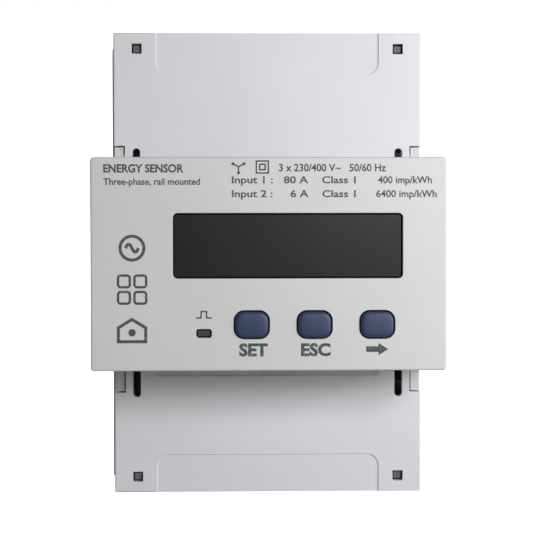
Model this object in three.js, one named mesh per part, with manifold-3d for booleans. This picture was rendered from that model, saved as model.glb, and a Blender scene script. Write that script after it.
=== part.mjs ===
// A rail-mounted three-phase smart electric meter, four modules wide.
// Millimetres. +Z is up, +X is to the right as the meter is read, and the display faces -Y.
// The origin is the centre of the seat that bears on the 35 mm rail, so y = 0 is the rail plane:
// the nose reaches forward of it, and the legs behind it.
import * as THREE from "three";
import { mergeVertices } from "three/addons/utils/BufferGeometryUtils.js";
import Module from "manifold-3d";

const wasm = await Module();
wasm.setup();

// ---------------------------------------------------------------- driving dimensions

// Overall sizes. A depth is measured forward from the rail plane.
const width = 72;
const height = 100;
const noseDepth = 60;
const ledgeDepth = 20;
const legDepth = 5.5;
const noseHeight = 43.2;
const coverInset = 2.6;

// Mouldings.
const wall = 2;
const coverWall = 1.6;
const floorWall = 2.2;
const noseCornerRadius = 0.8;

// Clearances: between parts that only meet, and between a turning shaft and its hole.
const gap = 0.3;
const runningGap = 0.1;

// A cut runs this far past the face it opens, and a joined feature starts this far inside its neighbour.
const over = 1;
const bite = 0.5;

// Rail channel and the clip that holds the rail.
const railHeight = 35;
const railGap = 0.4;
const railFlange = 1.3;
const railBend = 12;
const reliefGroove = [1, 0.4];
const labelRecess = [18, 25, 18, 0.3];
const hookReach = 2.4;
const hookThickness = 2.3;
const hookLength = 18;
const hookInset = 6;
const clipHalfWidth = 8;
const clipFlange = 2;
const clipLip = 2.6;
const clipTravel = 4;
const clipRelease = 0.5;
const clipPocketWall = 1.6;
const clipPocketHalf = 2.4;
const clipPocketPlay = 1;
const driverSlot = [4, 1.6];
const guideWall = 2.5;
const springLength = 12;
const springRadius = 1.25;
const springWire = 0.45;
const springTurns = 7;
const springInset = 10;
const lugLength = 3;
const lugHalfWidth = 1.6;

// Case screws, which run from the legs into bosses behind the front case.
const postInset = 6;
const postStep = 7.1;
const postRadius = 3;
const postDepth = 13;
const caseScrewRadius = 1.4;
const caseScrewHeadRadius = 2.7;
const caseScrewHead = 2;
const caseScrewSeat = 1;
const caseScrewDepth = 17;
const caseScrewTip = 1.5;

// Main terminals: four on each end, each a rising clamp on its own screw.
const terminalCount = 4;
const blockLength = 13.5;
const blockBack = 2.1;
const blockLid = 2.2;
const headRoom = 0.5;
const endWall = 3.5;
const clampLength = 8;
const clampHalfWidth = 5.2;
const clampSideWall = 1.6;
const clampFrontWall = 2.4;
const clampBackWall = 1.6;
const wireSpace = 7.5;
const clampTravel = 6.3;
const entrySize = 8;
const entryRadius = 1.5;
const busbarThickness = 2;
const busbarHalfWidth = 3;
const terminalScrewRadius = 2.5;
const terminalHeadRadius = 3.9;
const terminalHead = 3;
const headChamfer = 0.3;
const screwdriverHole = 3.6;
const crossSlot = 1;
const crossDepth = 1.3;
const crossReach = 0.7;

// Hinged terminal covers. The cover space is what is left for wires in front of the terminal block.
// Sideways insets are from the cover's side; ears, slots and the finger gap are measured from the nose.
const coverSpace = 7.9;
const hingeRadius = 1.4;
const pinRadius = 0.6;
const tongueInset = 2.4;
const slotInset = 4;
const slotWidth = 1.7;
const slotRounding = 0.49;
const earWidth = 1.9;
const earSetback = 0.5;
const earLengths = { lower: 6.3, upper: 3.6 };
const slotLengths = { lower: 7.6, upper: 3.4 };
const reliefInset = 9.2;
const reliefLengths = { lower: 8.2, upper: 9 };
const reliefDepth = 0.25;
const reliefRadius = 2.5;
const fingerReach = 3;
const fingerDepth = 0.5;
const catchSize = 2.2;
const catchSideInset = 5;
const catchEndInset = 3.4;
const catchPost = 1.6;
const catchSetback = 0.9;
const cableGapHalf = 20;
const cableGapLand = 1.1;

// Front of the nose: display window, buttons and pulse lamp. Places are from the nose's centre.
const windowWidth = 46.5;
const windowHeight = 13.2;
const windowRadius = 0.9;
const windowX = 3.82;
const windowZ = 3.69;
const windowRecess = 0.4;
const rimThickness = 1.2;
const rimLip = 1.6;
const buttonPitch = 12.7;
const buttonX = 9.15;
const buttonZ = -12.27;
const buttonWidth = 7.3;
const buttonHeight = 5.86;
const buttonRadius = 2.1;
const buttonProud = 0.6;
const buttonLip = 0.4;
const buttonRim = 0.8;
const buttonTravel = 0.5;
const stemRadius = 1.6;
const lampX = -13.2;
const lampZ = -14;
const lampWidth = 3.15;
const lampHeight = 1.76;
const lampRounding = 0.3;
const lampBase = [3.2, 1.6, 0.8];
const lampDome = [2.2, 1.2, 0.5];
const pipeLip = 0.6;

// Boards and what is on them. Sizes in brackets are across, deep and high; places are x and z.
const boardThickness = 1.6;
const displayBoardDepth = 50;
const mainBoardStep = 2.4;
const boardGap = 1.2;
const panelThickness = 2;
const panelMargin = 1;
const frameWall = 1.2;
const switchSize = 6;
const switchHeight = 3.5;
const plungerRadius = 1.7;
const plungerHeight = 0.8;
const ringRadius = 7;
const ringBore = 4;
const ringLength = 8;
const supplySize = [18, 15, 16];
const supplyPlace = [-20, 8];
const coilOverhang = 2.5;
const coreLimb = 3.5;
const coreRecess = 1.5;
const capacitorRadius = 5;
const capacitorLength = 16;
const capacitorPlace = [2, 9];
const chipSize = 10;
const chipThickness = 1.6;
const chipPlace = [8, -9];
const headerX = 25;
const headerWidth = 5;
const headerLength = 16;

// Signal terminals: one row of small screws on the lower deck.
const signalCount = 8;
const signalPitch = 5.08;
const signalMargin = 1.3;
const signalInset = 3;
const signalWire = 3;
const signalHeadRadius = 1.45;
const signalHead = 1.6;
const signalShank = 1.3;
const signalShankRadius = 1;
const signalSlot = [0.3, 0.7];

// ---------------------------------------------------------------- places that follow from them

/** Evenly spaced places about zero. */
function placesInRow(count, pitch) {
  return Array.from({ length: count }, (_, i) => (i - (count - 1) / 2) * pitch);
}

const sides = { lower: -1, upper: 1 };
const hands = [-1, 1];
const halfWidth = width / 2;
const halfHeight = height / 2;
const noseHalf = noseHeight / 2;
const coverHalf = halfWidth - coverInset;
const railHalf = railHeight / 2 + railGap;
const insideHalf = halfWidth - wall;
const deckHalf = insideHalf - gap;
const blockHalf = coverHalf - coverWall - 2 * gap;
const blockInnerZ = halfHeight - blockLength;
const blockOuterZ = halfHeight - coverWall - gap;
const deckEndZ = blockInnerZ - gap;
const terminalPitch = (2 * blockHalf) / terminalCount;
const terminalX = placesInRow(terminalCount, terminalPitch);
const clampZ = halfHeight - endWall - 2 * gap - clampLength / 2;
const clampBackDepth = floorWall + gap + blockBack + gap;
const busbarDepth = clampBackDepth + clampBackWall + wireSpace;
const busbarFrontDepth = busbarDepth + busbarThickness;
const clampWindowDepth = busbarFrontDepth + gap;
const clampFrontDepth = clampWindowDepth + clampFrontWall;
const headBackDepth = clampFrontDepth + clampTravel + gap;
const headFrontDepth = headBackDepth + terminalHead;
const blockDepth = headFrontDepth + headRoom + blockLid;
const chamberHalf = clampHalfWidth + gap;
const coverDepth = blockDepth + coverSpace + coverWall;
const hingeDepth = coverDepth - hingeRadius;
const hingeZ = noseHalf + gap + hingeRadius;
const tongueX = coverHalf - tongueInset;
const catchX = coverHalf - catchSideInset;
const catchZ = halfHeight - catchEndInset;
const reliefHalf = coverHalf - reliefInset;
const postX = halfWidth - postInset;
const postZ = railHalf + postStep;
const clipFlangeHalf = clipHalfWidth + clipFlange;
const springFoot = halfHeight - springInset;
const coverBackDepth = ledgeDepth + gap;
const rimDepth = noseDepth - wall - gap;
const panelFrontDepth = rimDepth - rimThickness - gap;
const panelHalfX = windowWidth / 2 - gap;
const panelHalfZ = windowHeight / 2 + panelMargin;
const mainBoardDepth = busbarDepth + busbarThickness / 2 + ringRadius + mainBoardStep + boardThickness;
const boardHalfX = insideHalf - boardGap;
const boardHalfZ = noseHalf - wall - boardGap;
const switchTopDepth = displayBoardDepth + gap + switchHeight;
const plungerDepth = switchTopDepth + plungerHeight;
const lampTopDepth = displayBoardDepth + gap + lampBase[2] + lampDome[2];
const signalX = placesInRow(signalCount, signalPitch);
const signalInnerZ = -(noseHalf + signalInset);
const signalOuterZ = -(deckEndZ - gap);
const signalScrewZ = (signalInnerZ + signalOuterZ) / 2;
const signalWireDepth = blockDepth + 2 * gap + signalWire;
const signalDepth = signalWireDepth + signalShank + signalHead + gap;

// ---------------------------------------------------------------- helpers

/** A manifold solid of a closed three.js geometry. */
function solid(geometry) {
  const bare = geometry.index ? geometry.toNonIndexed() : geometry.clone();
  bare.deleteAttribute("normal");
  bare.deleteAttribute("uv");
  const merged = mergeVertices(bare, 1e-4);
  return new wasm.Manifold(
    new wasm.Mesh({
      numProp: 3,
      vertProperties: merged.attributes.position.array,
      triVerts: new Uint32Array(merged.index.array),
    }),
  );
}

/** The three.js geometry of a manifold solid. */
function geometryOf(body) {
  const mesh = body.getMesh();
  const positions = new Float32Array(mesh.numVert * 3);
  for (let i = 0; i < mesh.numVert; i++) {
    positions.set(mesh.vertProperties.subarray(i * mesh.numProp, i * mesh.numProp + 3), i * 3);
  }
  return new THREE.BufferGeometry()
    .setAttribute("position", new THREE.BufferAttribute(positions, 3))
    .setIndex(new THREE.BufferAttribute(mesh.triVerts, 1));
}

/** A box between two corners, given as pairs in any order. */
function box(x0, x1, y0, y1, z0, z1) {
  const shape = new THREE.BoxGeometry(Math.abs(x1 - x0), Math.abs(y1 - y0), Math.abs(z1 - z0));
  return solid(shape.translate((x0 + x1) / 2, (y0 + y1) / 2, (z0 + z1) / 2));
}

/** A box given by depths forward of the rail plane, on the upper or lower side of the middle. */
function zoneBox(side, x0, x1, depth0, depth1, reach0, reach1) {
  return box(x0, x1, -depth0, -depth1, side * reach0, side * reach1);
}

/** A box between two depths, given by its centre and half sizes in the front's x and z. */
function centredBox(x, z, halfX, halfZ, depth0, depth1) {
  return box(x - halfX, x + halfX, -depth0, -depth1, z - halfZ, z + halfZ);
}

/** A cylinder along Y, from one depth to another. */
function rodY(radius, depth0, depth1, x, z, segments = 16) {
  const length = Math.abs(depth1 - depth0);
  const shape = new THREE.CylinderGeometry(radius, radius, length, segments);
  return solid(shape.translate(x, -(depth0 + depth1) / 2, z));
}

/** A cylinder along X. */
function rodX(radius, x0, x1, y, z, segments = 16) {
  const shape = new THREE.CylinderGeometry(radius, radius, Math.abs(x1 - x0), segments).rotateZ(Math.PI / 2);
  return solid(shape.translate((x0 + x1) / 2, y, z));
}

/** A rectangle with rounded corners, centred on (x, y). */
function roundedRectangle(w, h, r, x = 0, y = 0) {
  const shape = new THREE.Shape();
  shape.moveTo(x - w / 2 + r, y - h / 2);
  shape.absarc(x + w / 2 - r, y - h / 2 + r, r, -Math.PI / 2, 0);
  shape.absarc(x + w / 2 - r, y + h / 2 - r, r, 0, Math.PI / 2);
  shape.absarc(x - w / 2 + r, y + h / 2 - r, r, Math.PI / 2, Math.PI);
  shape.absarc(x - w / 2 + r, y - h / 2 + r, r, Math.PI, 1.5 * Math.PI);
  return shape;
}

/** A shape drawn in (x, z), extruded forward from one depth to a larger one. */
function extrudeForward(shape, depth0, depth1, curveSegments = 4) {
  const made = new THREE.ExtrudeGeometry(shape, { depth: depth1 - depth0, bevelEnabled: false, curveSegments });
  return solid(made.rotateX(Math.PI / 2).translate(0, -depth0, 0));
}

/** A shape drawn in (y, z), extruded along X. */
function extrudeAcross(shape, x0, x1, curveSegments = 6) {
  const made = new THREE.ExtrudeGeometry(shape, { depth: x1 - x0, bevelEnabled: false, curveSegments });
  const axes = new THREE.Matrix4().makeBasis(
    new THREE.Vector3(0, 1, 0),
    new THREE.Vector3(0, 0, 1),
    new THREE.Vector3(1, 0, 0),
  );
  return solid(made.applyMatrix4(axes).translate(x0, 0, 0));
}

/** A solid of revolution about an axis along Y. The profile is (radius, depth) pairs from axis to axis. */
function turned(profile, x, z, segments = 16) {
  const points = profile.map(([r, depth]) => new THREE.Vector2(r, -depth));
  return solid(new THREE.LatheGeometry(points, segments).translate(x, 0, z));
}

const meter = new THREE.Group();

/** Adds one sub-part to the meter, with its own colour and finish. */
function addPart(name, body, [color, roughness, metalness]) {
  const material = new THREE.MeshStandardMaterial({ color, roughness, metalness });
  const mesh = new THREE.Mesh(geometryOf(body), material);
  mesh.name = name;
  meter.add(mesh);
}

const finishes = {
  casing: [0xd6d7da, 0.55, 0],
  innerMoulding: [0xb9bbbd, 0.6, 0],
  clip: [0x4a4d52, 0.6, 0],
  window: [0x1d1d1f, 0.15, 0],
  liquidCrystal: [0x56604f, 0.2, 0],
  reflector: [0xf2f2ee, 0.5, 0],
  board: [0x1f5c35, 0.5, 0],
  button: [0x3f4b6b, 0.5, 0],
  black: [0x1a1a1a, 0.5, 0],
  lamp: [0x8c2a24, 0.3, 0],
  steel: [0xb8babd, 0.35, 1],
  copper: [0xc08a5a, 0.35, 1],
  winding: [0x2b4a7a, 0.5, 0],
  tape: [0xd8b23a, 0.6, 0],
  sleeve: [0x24262c, 0.4, 0],
  signalBlock: [0x2f6b46, 0.55, 0],
};

// ---------------------------------------------------------------- rear case

/** One leg behind the rail seat: a rim with pockets that open to the back, round solid screw columns. */
function leg(side) {
  let body = zoneBox(side, -halfWidth, halfWidth, -legDepth, bite, railHalf, halfHeight);
  const inner = side === sides.lower ? clipFlangeHalf + gap + guideWall : wall / 2;
  const column = postX - caseScrewHeadRadius - 2 * wall;
  const top = halfHeight - wall;
  for (const hand of hands) {
    const middle = zoneBox(side, hand * inner, hand * column, -legDepth - over, 0, railHalf + wall, top);
    const start = postZ + caseScrewHeadRadius + wall;
    const corner = zoneBox(side, hand * (column + wall), hand * insideHalf, -legDepth - over, 0, start, top);
    body = body.subtract(middle).subtract(corner);
  }
  return body;
}

/** The T-shaped channel that the clip slides in. */
function clipChannel() {
  const wideHalf = clipFlangeHalf + gap;
  const mouthHalf = clipHalfWidth + gap;
  const start = railHalf - over;
  const end = halfHeight + over;
  const wide = zoneBox(sides.lower, -wideHalf, wideHalf, 0, -clipLip, start, end);
  return wide.add(zoneBox(sides.lower, -mouthHalf, mouthHalf, 0, -legDepth - over, start, end));
}

/** What is sunk in the rail seat: a groove that clears each bend of the rail, and the label's place. */
function seatCuts() {
  const [grooveWidth, grooveDepth] = reliefGroove;
  const [labelX, labelWidth, labelHeight, labelDepth] = labelRecess;
  const side = halfWidth + over;
  const high = box(-side, side, over, -grooveDepth, railBend, railBend + grooveWidth);
  const low = box(-side, side, over, -grooveDepth, -railBend, -railBend - grooveWidth);
  return high.add(low).add(centredBox(labelX, 0, labelWidth / 2, labelHeight / 2, -over, labelDepth));
}

/** A fixed hook that holds the rail's upper flange. */
function railHook(hand) {
  const outer = hand * (halfWidth - hookInset);
  const inner = outer - hand * hookLength;
  const back = -railFlange - hookThickness;
  return zoneBox(sides.upper, inner, outer, -railFlange, back, railHalf - hookReach, railHalf + wall);
}

function rearCase() {
  let body = box(-halfWidth, halfWidth, -floorWall, 0, -halfHeight, halfHeight);
  body = body.add(leg(sides.lower)).add(leg(sides.upper));
  for (const hand of hands) {
    const wallPlate = box(hand * insideHalf, hand * halfWidth, -ledgeDepth + gap, 0, -halfHeight, halfHeight);
    body = body.add(wallPlate).add(railHook(hand));
  }
  for (const [x, z] of casePosts()) {
    body = body.add(rodY(postRadius, 0, postDepth, x, z));
    body = body.subtract(rodY(caseScrewRadius + gap, -legDepth, postDepth + over, x, z, 12));
    body = body.subtract(rodY(caseScrewHeadRadius + gap, -legDepth - over, gap - caseScrewSeat, x, z));
  }
  body = body.subtract(clipChannel()).subtract(seatCuts());
  const lugEnd = springFoot + lugLength;
  const lugBack = -(legDepth - gap - clipPocketWall - gap);
  const lug = zoneBox(sides.lower, -lugHalfWidth, lugHalfWidth, bite, lugBack, springFoot, lugEnd);
  return body.add(lug);
}

/** The four places of the case screws. */
function casePosts() {
  return hands.flatMap((hand) => hands.map((side) => [hand * postX, side * postZ]));
}

/** A cross of two slots, cut backward or forward between two depths. */
function crossCut(x, z, reach, depth0, depth1) {
  const half = crossSlot / 2;
  const across = box(x - reach, x + reach, -depth0, -depth1, z - half, z + half);
  return across.add(box(x - half, x + half, -depth0, -depth1, z - reach, z + reach));
}

function caseScrew(x, z) {
  const outer = -caseScrewSeat - caseScrewHead;
  const body = turned(
    [
      [0, caseScrewDepth],
      [caseScrewRadius, caseScrewDepth - caseScrewTip],
      [caseScrewRadius, -caseScrewSeat],
      [caseScrewHeadRadius, -caseScrewSeat],
      [caseScrewHeadRadius, outer],
      [0, outer],
    ],
    x,
    z,
    12,
  );
  return body.subtract(crossCut(x, z, caseScrewHeadRadius * crossReach, outer - over, outer + crossDepth));
}

// ---------------------------------------------------------------- front case

/** A hinge ear: a rib beside the nose that a cover's pin turns in. */
function hingeEar(zone, hand) {
  const inner = hand * (tongueX + gap);
  const outer = inner + hand * earWidth;
  const end = noseHalf + earLengths[zone];
  return zoneBox(sides[zone], inner, outer, ledgeDepth - over, coverDepth - earSetback, noseHalf - over, end);
}

/** The hole through an ear. */
function pinHole(zone, hand) {
  const outer = tongueX + earWidth + over;
  return rodX(pinRadius + runningGap, hand * tongueX, hand * outer, -hingeDepth, sides[zone] * hingeZ, 12);
}

/** A rounded window through the front plate of the nose. */
function frontCut(w, h, r, x, z) {
  return extrudeForward(roundedRectangle(w, h, r, x, z), noseDepth - wall - over, noseDepth + over);
}

function frontCase() {
  let body = extrudeForward(roundedRectangle(width, noseHeight, noseCornerRadius), ledgeDepth, noseDepth, 3);
  body = body.add(box(-deckHalf, deckHalf, -ledgeDepth, -ledgeDepth + wall, -deckEndZ, deckEndZ));
  for (const zone of Object.keys(sides)) {
    for (const hand of hands) {
      body = body.add(hingeEar(zone, hand)).subtract(pinHole(zone, hand));
    }
  }
  const topZ = noseHalf - wall;
  const openHalf = insideHalf - wall;
  body = body.subtract(box(-insideHalf, insideHalf, -noseDepth + wall, -ledgeDepth, -topZ, topZ));
  body = body.subtract(box(-openHalf, openHalf, -ledgeDepth - over, 0, -topZ, topZ));
  for (const [x, z] of casePosts()) {
    body = body.add(rodY(postRadius, postDepth + gap, ledgeDepth - bite, x, z));
    body = body.subtract(rodY(caseScrewRadius + gap, 0, caseScrewDepth + gap, x, z, 12));
  }
  body = body.subtract(frontCut(windowWidth, windowHeight, windowRadius, windowX, windowZ));
  for (const x of buttonPlaces()) {
    body = body.subtract(frontCut(buttonWidth, buttonHeight, buttonRadius, x, buttonZ));
  }
  return body.subtract(frontCut(lampWidth, lampHeight, lampHeight * lampRounding, lampX, lampZ));
}

/** The x places of the three buttons. */
function buttonPlaces() {
  return placesInRow(3, buttonPitch).map((x) => buttonX + x);
}

// ---------------------------------------------------------------- what the nose holds

/** A rounded rectangle in the front's (x, z), grown by a margin all round. */
function windowOutline(margin) {
  const radius = windowRadius + Math.min(margin, 0);
  return roundedRectangle(windowWidth + 2 * margin, windowHeight + 2 * margin, radius, windowX, windowZ);
}

function displayWindow() {
  const rim = extrudeForward(windowOutline(rimLip), rimDepth - rimThickness, rimDepth, 3);
  return rim.add(extrudeForward(windowOutline(-gap), rimDepth - bite, noseDepth - windowRecess));
}

function displayPanel() {
  const back = panelFrontDepth - panelThickness;
  return centredBox(windowX, windowZ, panelHalfX, panelHalfZ, back, panelFrontDepth);
}

/** The white frame that holds the display panel off its board and spreads its light. */
function displayFrame() {
  const seat = panelFrontDepth - panelThickness - gap;
  const pocketX = panelHalfX + gap;
  const pocketZ = panelHalfZ + gap;
  const back = displayBoardDepth + gap;
  const body = centredBox(windowX, windowZ, pocketX + frameWall, pocketZ + frameWall, back, panelFrontDepth);
  return body.subtract(centredBox(windowX, windowZ, pocketX, pocketZ, seat, panelFrontDepth + over));
}

function displayBoard() {
  return centredBox(0, 0, boardHalfX, boardHalfZ, displayBoardDepth - boardThickness, displayBoardDepth);
}

function tactSwitch(x) {
  const half = switchSize / 2;
  const body = centredBox(x, buttonZ, half, half, displayBoardDepth + gap, switchTopDepth);
  return body.add(rodY(plungerRadius, switchTopDepth - bite, plungerDepth, x, buttonZ, 12));
}

/** A push button: the cap in the case's hole, the rim that keeps it in, and the stem down to its switch. */
function button(x) {
  const capWidth = buttonWidth - 2 * gap;
  const capHeight = buttonHeight - 2 * gap;
  const rimWidth = buttonWidth + 2 * buttonLip;
  const rimHeight = buttonHeight + 2 * buttonLip;
  const cap = roundedRectangle(capWidth, capHeight, buttonRadius - gap, x, buttonZ);
  const rim = roundedRectangle(rimWidth, rimHeight, buttonRadius, x, buttonZ);
  return extrudeForward(cap, rimDepth - bite, noseDepth + buttonProud)
    .add(extrudeForward(rim, rimDepth - buttonRim, rimDepth, 3))
    .add(rodY(stemRadius, plungerDepth + buttonTravel + runningGap, rimDepth - bite, x, buttonZ, 12));
}

/** The clear pipe that carries the pulse lamp's light to the front. */
function lightPipe() {
  const pipeHeight = lampHeight - 2 * gap;
  const pipe = roundedRectangle(lampWidth - 2 * gap, pipeHeight, pipeHeight * lampRounding, lampX, lampZ);
  const rimX = lampWidth / 2 + pipeLip;
  const rimZ = lampHeight / 2 + pipeLip;
  const rim = centredBox(lampX, lampZ, rimX, rimZ, rimDepth - rimThickness, rimDepth);
  return extrudeForward(pipe, lampTopDepth + gap, noseDepth - windowRecess, 3).add(rim);
}

function pulseLamp() {
  const [baseX, baseZ, baseThickness] = lampBase;
  const [domeX, domeZ, domeThickness] = lampDome;
  const back = displayBoardDepth + gap;
  const base = centredBox(lampX, lampZ, baseX / 2, baseZ / 2, back, back + baseThickness);
  return base.add(centredBox(lampX, lampZ, domeX / 2, domeZ / 2, back, back + baseThickness + domeThickness));
}

function mainBoard() {
  const [chipX, chipZ] = chipPlace;
  const half = chipSize / 2;
  const board = centredBox(0, 0, boardHalfX, boardHalfZ, mainBoardDepth - boardThickness, mainBoardDepth);
  return board.add(centredBox(chipX, chipZ, half, half, mainBoardDepth - bite, mainBoardDepth + chipThickness));
}

/** A small mains transformer: an iron core with its winding standing out above and below. */
function supplyTransformer() {
  const [w, d, h] = supplySize;
  const [x, z] = supplyPlace;
  const back = mainBoardDepth + gap;
  const core = centredBox(x, z, w / 2, h / 2 - coilOverhang, back, back + d);
  const coilX = w / 2 - coreLimb;
  return core.add(centredBox(x, z, coilX, h / 2, back + coreRecess, back + d - coreRecess));
}

function supplyCapacitor() {
  const [x, z] = capacitorPlace;
  const back = mainBoardDepth + gap;
  return rodY(capacitorRadius, back, back + capacitorLength, x, z, 20);
}

/** The pin header that joins the two boards. */
function boardHeader() {
  const front = displayBoardDepth - boardThickness - gap;
  return centredBox(headerX, 0, headerWidth / 2, headerLength / 2, mainBoardDepth + gap, front);
}

/** A ring core with its winding, round one busbar. */
function currentTransformer(x) {
  const half = ringLength / 2;
  const section = [
    [ringBore, -half],
    [ringRadius, -half],
    [ringRadius, half],
    [ringBore, half],
    [ringBore, -half],
  ];
  const points = section.map(([r, along]) => new THREE.Vector2(r, along));
  const depth = busbarDepth + busbarThickness / 2;
  return solid(new THREE.LatheGeometry(points, 24).rotateX(Math.PI / 2).translate(x, -depth, 0));
}

// ---------------------------------------------------------------- main terminals

function busbar(x) {
  const end = clampZ + clampLength / 2 - gap;
  return box(x - busbarHalfWidth, x + busbarHalfWidth, -busbarDepth, -busbarFrontDepth, -end, end);
}

/** One terminal's chamber, open to the inside, with its wire entry and its screwdriver hole. */
function terminalCavity(x, side) {
  const back = clampBackDepth - gap;
  const front = blockDepth - blockLid;
  const end = halfHeight - endWall;
  const chamber = zoneBox(side, x - chamberHalf, x + chamberHalf, back, front, blockInnerZ - over, end);
  const access = rodY(screwdriverHole, front - bite, blockDepth + over, x, side * clampZ);
  const outline = roundedRectangle(entrySize, entrySize, entryRadius, x, -(busbarDepth - wireSpace / 2));
  const length = endWall + 2 * over;
  const prism = new THREE.ExtrudeGeometry(outline, { depth: length, bevelEnabled: false, curveSegments: 3 });
  const entry = solid(prism.translate(0, 0, side * (halfHeight - endWall / 2) - length / 2));
  return chamber.add(access).add(entry);
}

function terminalBlock(side) {
  const base = zoneBox(side, -deckHalf, deckHalf, floorWall + gap, ledgeDepth - gap, blockInnerZ, halfHeight);
  const head = zoneBox(side, -blockHalf, blockHalf, ledgeDepth - over, blockDepth, blockInnerZ, blockOuterZ);
  let body = base.add(head);
  for (const x of terminalX) {
    body = body.subtract(terminalCavity(x, side));
  }
  const post = catchPost / 2;
  for (const hand of hands) {
    const front = coverDepth - catchSetback;
    const x = hand * catchX;
    body = body.add(zoneBox(side, x - post, x + post, blockDepth - bite, front, catchZ - post, catchZ + post));
  }
  return body;
}

function terminalScrew(x, side) {
  const z = side * clampZ;
  const body = turned(
    [
      [0, headFrontDepth],
      [terminalHeadRadius - headChamfer, headFrontDepth],
      [terminalHeadRadius, headFrontDepth - headChamfer],
      [terminalHeadRadius, headBackDepth],
      [terminalScrewRadius, headBackDepth],
      [terminalScrewRadius, clampWindowDepth],
      [0, clampWindowDepth],
    ],
    x,
    z,
  );
  const bottom = headFrontDepth - crossDepth;
  return body.subtract(crossCut(x, z, terminalHeadRadius * crossReach, bottom, headFrontDepth + over));
}

/** The rising cage that presses a wire against the busbar. */
function clampCage(x, side) {
  const near = clampZ - clampLength / 2;
  const far = clampZ + clampLength / 2;
  const outer = clampHalfWidth;
  const body = zoneBox(side, x - outer, x + outer, clampBackDepth, clampFrontDepth, near, far);
  const half = clampHalfWidth - clampSideWall;
  const back = busbarDepth - wireSpace;
  const window = zoneBox(side, x - half, x + half, back, clampWindowDepth, near - over, far + over);
  const thread = terminalScrewRadius + runningGap;
  const hole = rodY(thread, clampWindowDepth - bite, clampFrontDepth + over, x, side * clampZ);
  return body.subtract(window).subtract(hole);
}

// ---------------------------------------------------------------- terminal covers

/** The cover's section: front plate, end wall and the rounded rib that turns beside the nose. */
function coverSection(side) {
  const plateBack = -coverDepth + coverWall;
  const shape = new THREE.Shape();
  shape.moveTo(-coverDepth, side * halfHeight);
  shape.lineTo(-coverBackDepth, side * halfHeight);
  shape.lineTo(-coverBackDepth, side * (halfHeight - coverWall));
  shape.lineTo(plateBack, side * (halfHeight - coverWall));
  shape.lineTo(plateBack, side * (hingeZ + hingeRadius));
  const steps = 9;
  for (let i = 0; i <= steps; i++) {
    const angle = (i / steps) * 1.5 * Math.PI;
    const y = -hingeDepth + hingeRadius * Math.sin(angle);
    shape.lineTo(y, side * (hingeZ + hingeRadius * Math.cos(angle)));
  }
  return shape;
}

/** What is cut from one side of a cover: the ear's notch, the hinge slot and the catch's hole. */
function coverCuts(zone, hand) {
  const side = sides[zone];
  const notchEnd = noseHalf + earLengths[zone] + gap;
  const outer = hand * (coverHalf + over);
  const notch = zoneBox(side, hand * tongueX, outer, 0, coverDepth + over, noseHalf, notchEnd);
  const slotX = hand * (coverHalf - slotInset - slotWidth / 2);
  const slotLength = 2 * slotLengths[zone];
  const outline = roundedRectangle(slotWidth, slotLength, slotWidth * slotRounding, slotX, side * noseHalf);
  const slot = extrudeForward(outline, coverBackDepth, coverDepth + over);
  const half = catchSize / 2;
  const x = hand * catchX;
  const back = coverDepth - coverWall - over;
  const hole = zoneBox(side, x - half, x + half, back, coverDepth + over, catchZ - half, catchZ + half);
  return notch.add(slot).add(hole);
}

function terminalCover(zone) {
  const side = sides[zone];
  const front = coverDepth + over;
  const wallStart = noseHalf + earLengths[zone] + gap;
  let body = extrudeAcross(coverSection(side), -coverHalf, coverHalf);
  for (const hand of hands) {
    const inner = hand * (coverHalf - coverWall);
    const edge = coverDepth - bite;
    body = body.add(zoneBox(side, inner, hand * coverHalf, coverBackDepth, edge, wallStart, halfHeight - bite));
    body = body.subtract(coverCuts(zone, hand));
    const pinEnds = [hand * (tongueX - bite), hand * (tongueX + earWidth)];
    body = body.add(rodX(pinRadius, ...pinEnds, -hingeDepth, side * hingeZ, 12));
  }
  const relief = roundedRectangle(2 * reliefHalf, 2 * reliefLengths[zone], reliefRadius, 0, side * halfHeight);
  body = body.subtract(extrudeForward(relief, coverDepth - reliefDepth, front));
  if (zone === "lower") {
    const fingerEnd = noseHalf + fingerReach;
    const fingerBack = coverDepth - fingerDepth;
    body = body.subtract(zoneBox(side, -reliefHalf, reliefHalf, fingerBack, front, noseHalf, fingerEnd));
    const back = blockDepth + gap;
    const end = halfHeight - coverWall - over;
    const top = coverDepth - coverWall - cableGapLand;
    body = body.subtract(zoneBox(side, -cableGapHalf, cableGapHalf, back, top, end, halfHeight + over));
  }
  return body;
}

// ---------------------------------------------------------------- signal terminals

/** One signal terminal's cavity: the screw's well and hole, and the wire entry below it. */
function signalCavity(x) {
  const head = signalDepth - gap - signalHead;
  const half = signalWire / 2;
  const back = signalWireDepth - signalWire;
  return rodY(signalHeadRadius + gap, head - gap, signalDepth + over, x, signalScrewZ, 12)
    .add(rodY(signalShankRadius + gap, signalWireDepth - bite, signalDepth, x, signalScrewZ, 12))
    .add(box(x - half, x + half, -back, -signalWireDepth, signalOuterZ - over, signalScrewZ + signalWire / 2));
}

function signalBlock() {
  const half = (signalCount * signalPitch) / 2 + signalMargin;
  const body = box(-half, half, -signalDepth, -ledgeDepth - gap, signalOuterZ, signalInnerZ);
  return signalX.reduce((rest, x) => rest.subtract(signalCavity(x)), body);
}

function signalScrew(x) {
  const front = signalDepth - gap;
  const back = front - signalHead;
  const body = turned(
    [
      [0, front],
      [signalHeadRadius, front],
      [signalHeadRadius, back],
      [signalShankRadius, back],
      [signalShankRadius, signalWireDepth],
      [0, signalWireDepth],
    ],
    x,
    signalScrewZ,
    12,
  );
  const [slotHalf, slotDepth] = signalSlot;
  const reach = signalHeadRadius + over;
  return body.subtract(centredBox(x, signalScrewZ, reach, slotHalf, front - slotDepth, front + over));
}

// ---------------------------------------------------------------- rail clip

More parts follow.
